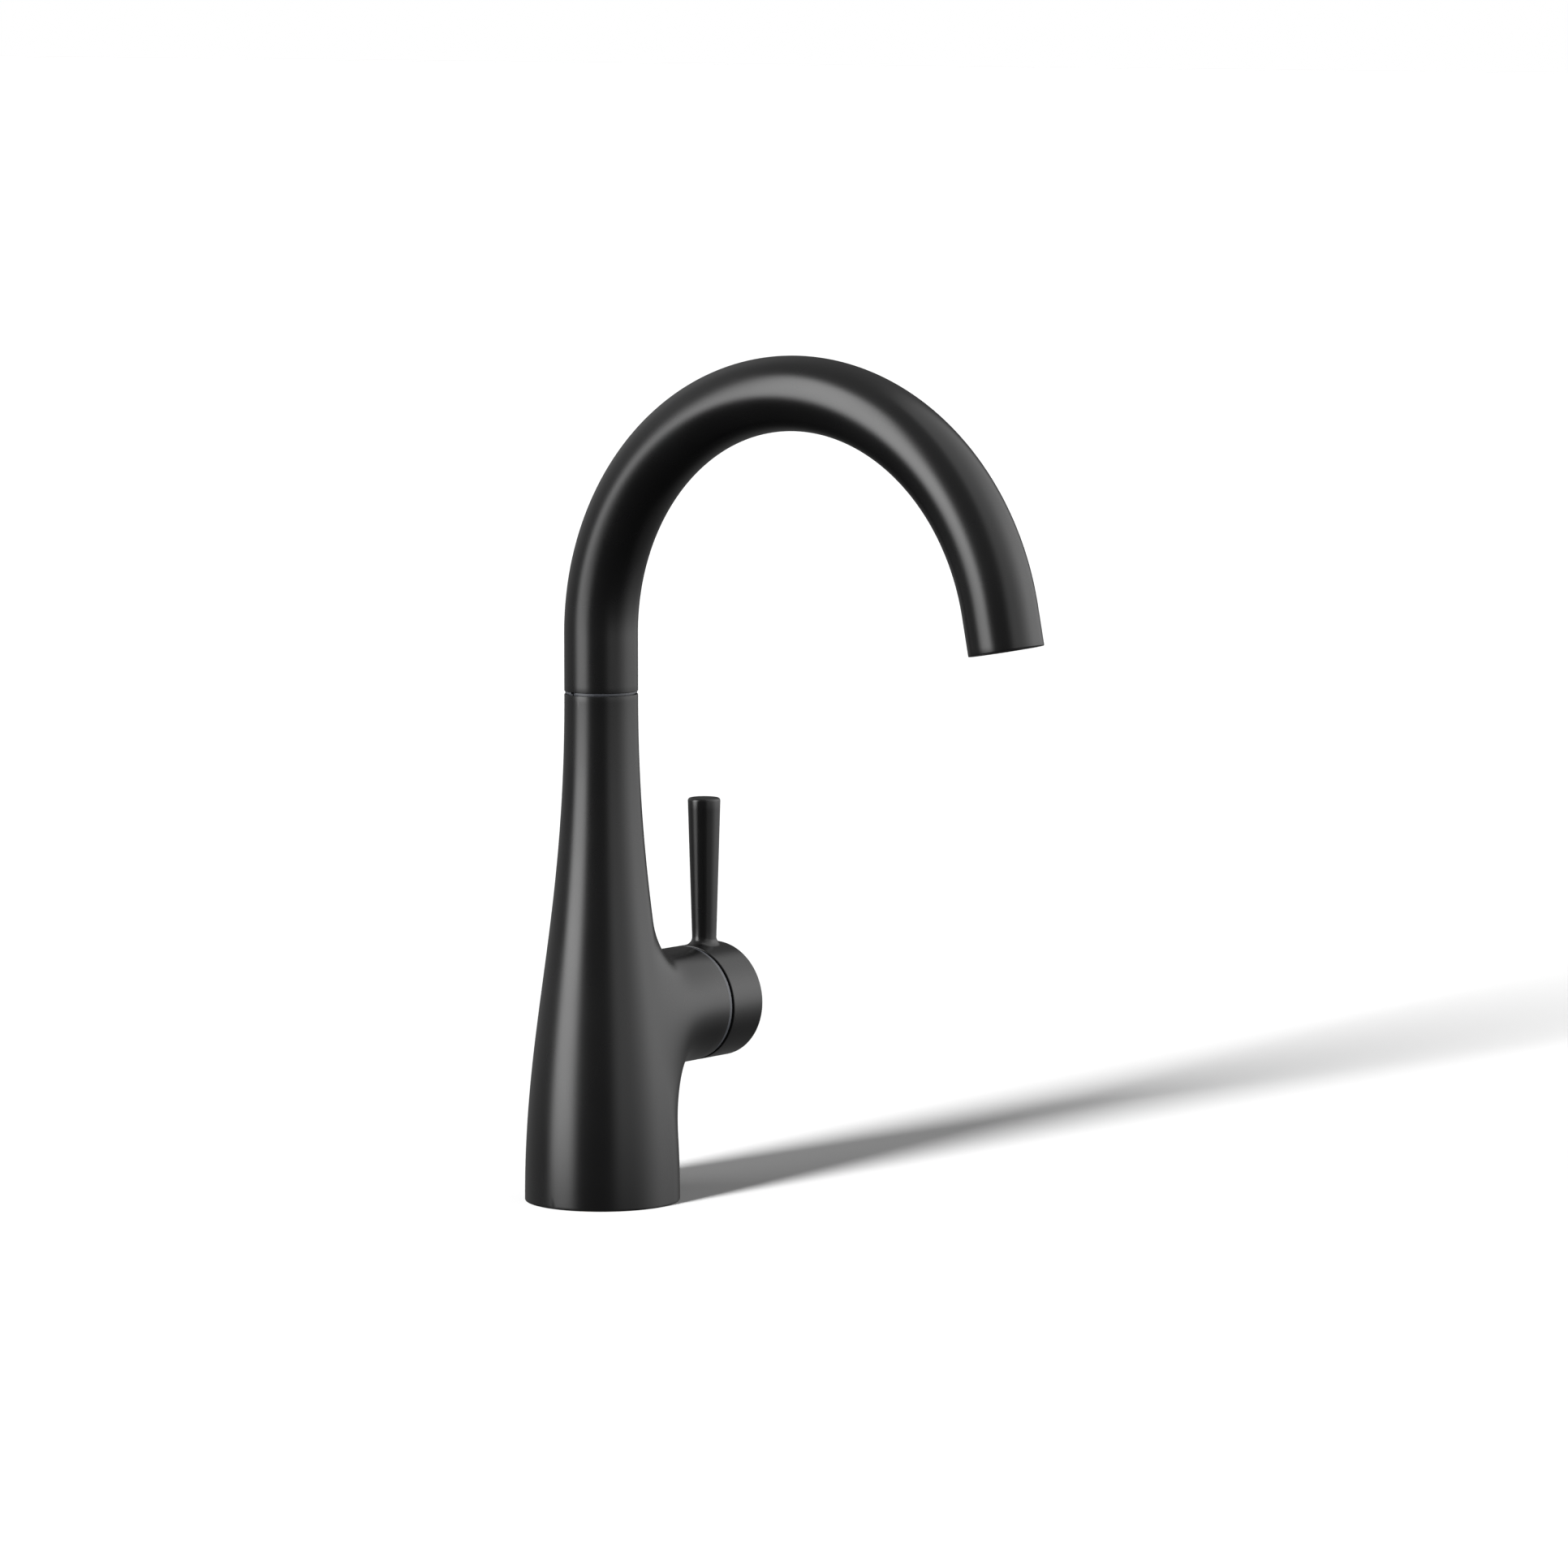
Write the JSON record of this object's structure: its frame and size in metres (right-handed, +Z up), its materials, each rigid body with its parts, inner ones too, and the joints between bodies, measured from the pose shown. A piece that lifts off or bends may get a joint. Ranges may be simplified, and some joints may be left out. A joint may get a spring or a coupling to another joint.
{
  "type": "beverage faucet",
  "caption": "Deck-mounted beverage faucet: flared body with a side lever valve blended into it, a swivelling gooseneck spout and a threaded shank for the deck.",
  "frame": {"origin": "centre of the base's underside, on the deck", "axes": "+Z up along the body and the swivel, -Y the way the spout reaches over the sink, +X along the valve towards the handle"},
  "size_m": [0.0808, 0.186, 0.327],
  "materials": {
    "black_coating": "matte black coating with a soft sheen",
    "black_rubber": "matte",
    "brass": "machined",
    "steel": "brushed",
    "black_plastic": "matte",
    "grey_plastic": "satin",
    "white_plastic": "satin",
    "disc_ceramic": "lapped"
  },
  "bodies": {
    "body": {"body_casting": "black_coating", "base_gasket": "black_rubber", "mounting_shank": "brass", "shank_seal": "black_rubber", "deck_rubber_washer": "black_rubber", "deck_steel_washer": "steel", "mounting_nut": "brass", "spout_bearing": "grey_plastic", "valve_seat_seal": "black_rubber", "fixed_disc": "disc_ceramic", "cartridge_housing": "brass", "cartridge_seal": "black_rubber", "bonnet_nut": "brass", "handle_glide": "grey_plastic"},
    "spout": {"spout_tube": "black_coating", "spout_ferrule": "brass", "swivel_seal_upper": "black_rubber", "swivel_seal_lower": "black_rubber", "spout_snap_ring": "steel", "aerator_housing": "black_plastic", "aerator_insert": "white_plastic", "aerator_washer": "black_rubber"},
    "handle": {"handle": "black_coating", "valve_stem": "brass", "moving_disc": "disc_ceramic", "stem_seal_inner": "black_rubber", "stem_seal_outer": "black_rubber", "stem_thrust_washer": "white_plastic", "stem_clip": "steel", "handle_set_screw": "steel", "set_screw_plug": "black_plastic"}
  },
  "joints": [
    {"name": "spout_swivel", "type": "hinge", "parent": "body", "child": "spout", "pos_m": [0, 0, 0.1552], "axis": [0, 0, 1], "continuous": true},
    {"name": "handle_turn", "type": "hinge", "parent": "body", "child": "handle", "pos_m": [0, 0, 0.0559], "axis": [1, 0, 0], "range_deg": [0, 90]}
  ]
}
